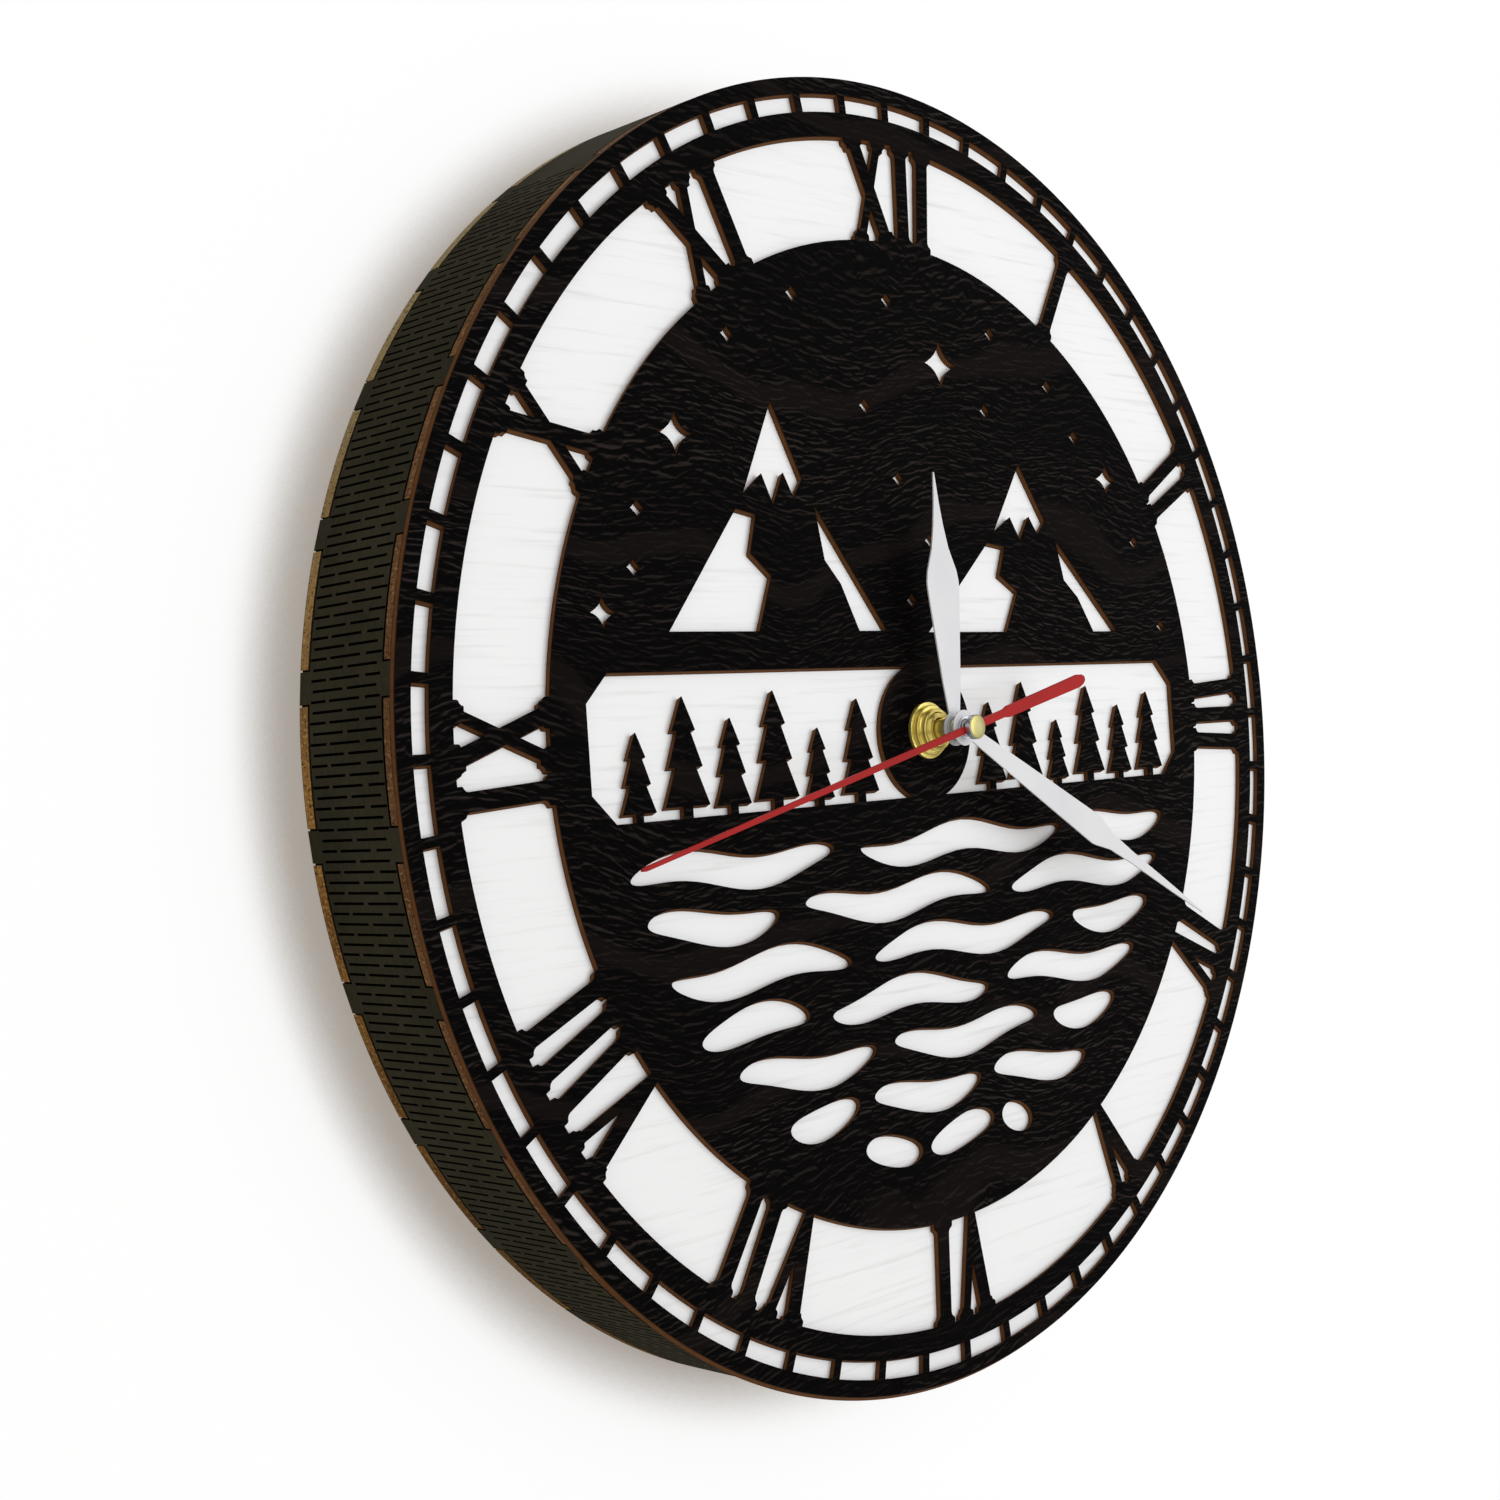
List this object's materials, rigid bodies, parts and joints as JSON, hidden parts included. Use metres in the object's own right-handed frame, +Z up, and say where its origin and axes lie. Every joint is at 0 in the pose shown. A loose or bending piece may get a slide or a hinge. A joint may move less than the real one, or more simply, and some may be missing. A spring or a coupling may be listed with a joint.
{
  "type": "night light wall clock",
  "caption": "Round wooden wall clock with a dark cut-out dial over a white plate, a slitted side band, three hands on a quartz movement, and a light strip inside.",
  "frame": {"origin": "the top of the keyhole slot, where the wall screw carries the clock, on the rear face", "axes": "+X to the right of someone facing the dial, +Y into the wall, +Z up"},
  "size_m": [0.3, 0.046, 0.3018],
  "materials": {
    "black_wood": "black-stained thin wood with an embossed wavy grain and charred cut edges",
    "white_paint": "smooth white-painted board with a faint grain",
    "brown_ply": "bare thin plywood, laser cut, with browned edges",
    "dark_band": "dark-stained bendable wood, matte, with rows of thin slits",
    "white_hand": "satin white paint on thin stamped aluminium",
    "red_hand": "satin red paint on thin stamped metal",
    "silver": "bright plated metal",
    "brass": "bright turned brass",
    "cap_metal": "pale gold plated cap",
    "black_plastic": "black moulded plastic with a fine texture",
    "grey_plastic": "grey moulded plastic",
    "gear_plastic": "natural white acetal",
    "rubber": "black rubber and soft cable jacket",
    "iron": "soft magnetic iron and a sintered magnet",
    "copper": "enamelled copper wire",
    "green_board": "green solder mask on glass laminate",
    "battery_skin": "plain dark printed sleeve on a steel can",
    "strip_white": "white flexible strip with pale lamp chips"
  },
  "bodies": {
    "case": {"front_dial": "black_wood", "white_plate": "white_paint", "back_plate": "brown_ply", "side_band": "dark_band", "brass_washer": "brass", "brass_nut": "brass", "threaded_bush": "brass", "rubber_washer": "rubber", "movement_case": "black_plastic", "movement_cover": "black_plastic", "train_bridge": "grey_plastic", "stator": "iron", "coil_core": "iron", "coil": "copper", "circuit_board": "green_board", "control_chip": "black_plastic", "crystal": "silver", "battery": "battery_skin", "contact_plus": "silver", "contact_minus": "silver", "light_strip": "strip_white", "power_inlet": "black_plastic", "inlet_nut": "silver", "button_housing": "silver", "button_nut": "silver", "light_driver": "grey_plastic", "inlet_lead": "rubber", "button_lead": "rubber", "strip_lead": "rubber"},
    "second": {"second_wheel": "gear_plastic", "second_hand": "red_hand", "second_collar": "silver", "second_cap": "cap_metal"},
    "minute": {"minute_arbor": "silver", "minute_hand": "white_hand", "minute_collar": "silver"},
    "hour": {"hour_arbor": "brass", "hour_hand": "white_hand", "hour_collar": "silver"},
    "centre": {"centre_wheel": "gear_plastic"},
    "third": {"third_wheel": "gear_plastic"},
    "intermediate": {"intermediate_wheel": "gear_plastic"},
    "motor_rotor": {"rotor": "gear_plastic", "rotor_magnet": "iron"},
    "motion": {"motion_wheel": "gear_plastic"},
    "knob": {"setting_knob": "grey_plastic"},
    "button": {"light_button": "black_plastic"}
  },
  "joints": [
    {"name": "second_turn", "type": "hinge", "parent": "case", "child": "second", "pos_m": [0, 0, -0.112], "axis": [0, 1, 0], "continuous": true},
    {"name": "minute_turn", "type": "hinge", "parent": "case", "child": "minute", "pos_m": [0, 0, -0.112], "axis": [0, 1, 0], "continuous": true},
    {"name": "hour_turn", "type": "hinge", "parent": "case", "child": "hour", "pos_m": [0, 0, -0.112], "axis": [0, 1, 0], "continuous": true},
    {"name": "centre_turn", "type": "hinge", "parent": "case", "child": "centre", "pos_m": [0, 0, -0.112], "axis": [0, 1, 0], "continuous": true},
    {"name": "third_turn", "type": "hinge", "parent": "case", "child": "third", "pos_m": [-0.00866, 0, -0.107], "axis": [0, 1, 0], "continuous": true},
    {"name": "intermediate_turn", "type": "hinge", "parent": "case", "child": "intermediate", "pos_m": [0.00165, 0, -0.10264], "axis": [0, 1, 0], "continuous": true},
    {"name": "rotor_turn", "type": "hinge", "parent": "case", "child": "motor_rotor", "pos_m": [0.00866, 0, -0.09859], "axis": [0, 1, 0], "continuous": true},
    {"name": "motion_turn", "type": "hinge", "parent": "case", "child": "motion", "pos_m": [0.00846, 0, -0.10892], "axis": [0, 1, 0], "continuous": true},
    {"name": "knob_turn", "type": "hinge", "parent": "case", "child": "knob", "pos_m": [0.01691, 0, -0.10584], "axis": [0, 1, 0], "continuous": true},
    {"name": "button_press", "type": "slide", "parent": "case", "child": "button", "axis": [-0.1564, 0, 0.9877], "range_m": [0, 0.0012], "stiffness_N_per_m": 250, "springref_m": -0.0012}
  ],
  "couplings": [
    {"joint": "intermediate_turn", "follows": "second_turn", "ratio": -6},
    {"joint": "rotor_turn", "follows": "second_turn", "ratio": 30},
    {"joint": "third_turn", "follows": "second_turn", "ratio": -0.13333},
    {"joint": "centre_turn", "follows": "second_turn", "ratio": 0.016667},
    {"joint": "motion_turn", "follows": "minute_turn", "ratio": -0.33333},
    {"joint": "hour_turn", "follows": "minute_turn", "ratio": 0.083333},
    {"joint": "knob_turn", "follows": "minute_turn", "ratio": 1}
  ]
}
